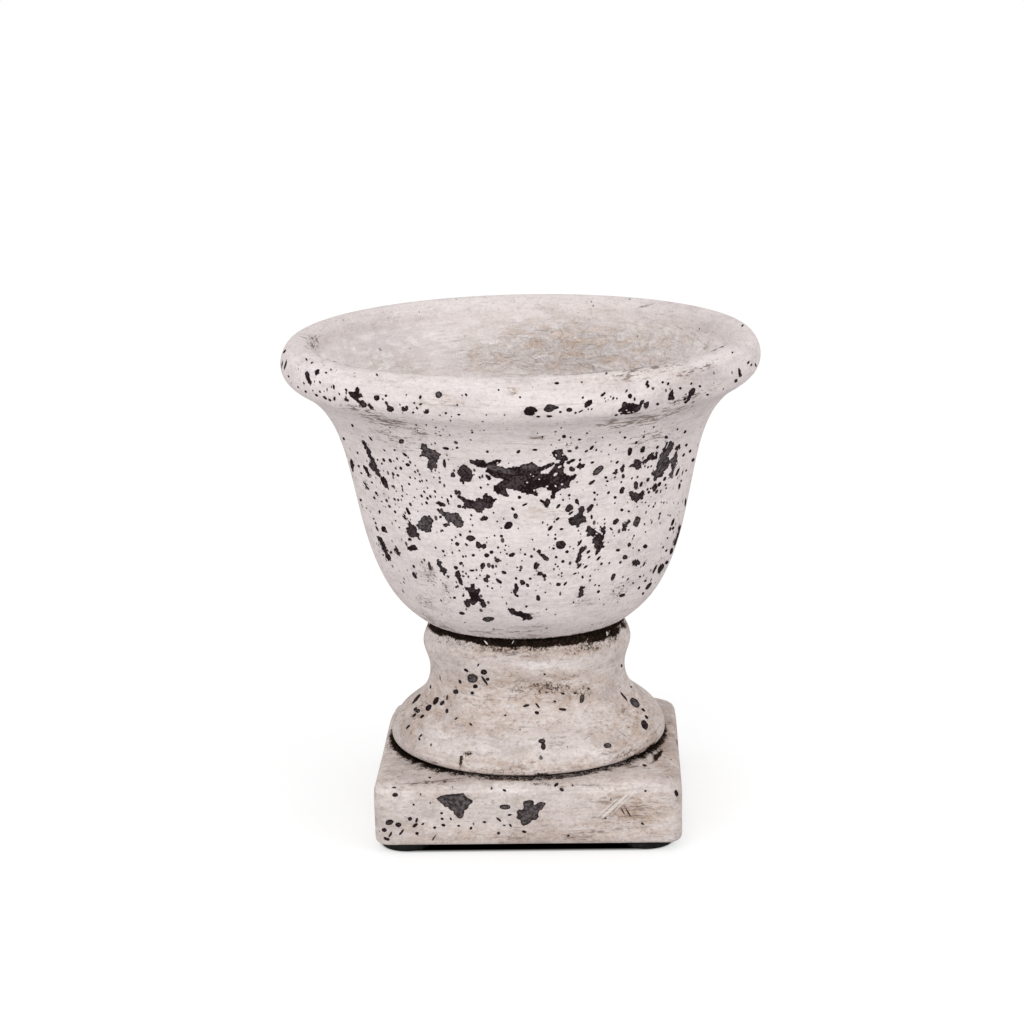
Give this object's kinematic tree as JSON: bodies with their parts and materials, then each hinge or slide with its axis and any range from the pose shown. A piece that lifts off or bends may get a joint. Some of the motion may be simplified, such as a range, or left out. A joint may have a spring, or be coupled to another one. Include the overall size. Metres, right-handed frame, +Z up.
{
  "type": "pedestal urn planter",
  "caption": "Pedestal urn planter: a flared bell bowl with a rolled rim and a drain hole, on a waisted hollow foot, a square plinth and round pads.",
  "frame": {"origin": "centre of the footprint, where the pads touch the ground", "axes": "+Z up along the axis of the bowl and foot; the plinth's sides lie along X and Y"},
  "size_m": [0.1828, 0.1828, 0.1885],
  "materials": {
    "painted_terracotta": "matte, chipped pale grey paint",
    "dark_mortar": "rough",
    "black_pad": "matte"
  },
  "bodies": {
    "root": {"bowl": "painted_terracotta", "bowl_bed": "dark_mortar", "foot": "painted_terracotta", "foot_bed": "dark_mortar", "plinth": "painted_terracotta", "pad_front_left": "black_pad", "pad_front_right": "black_pad", "pad_back_left": "black_pad", "pad_back_right": "black_pad"}
  },
  "joints": []
}
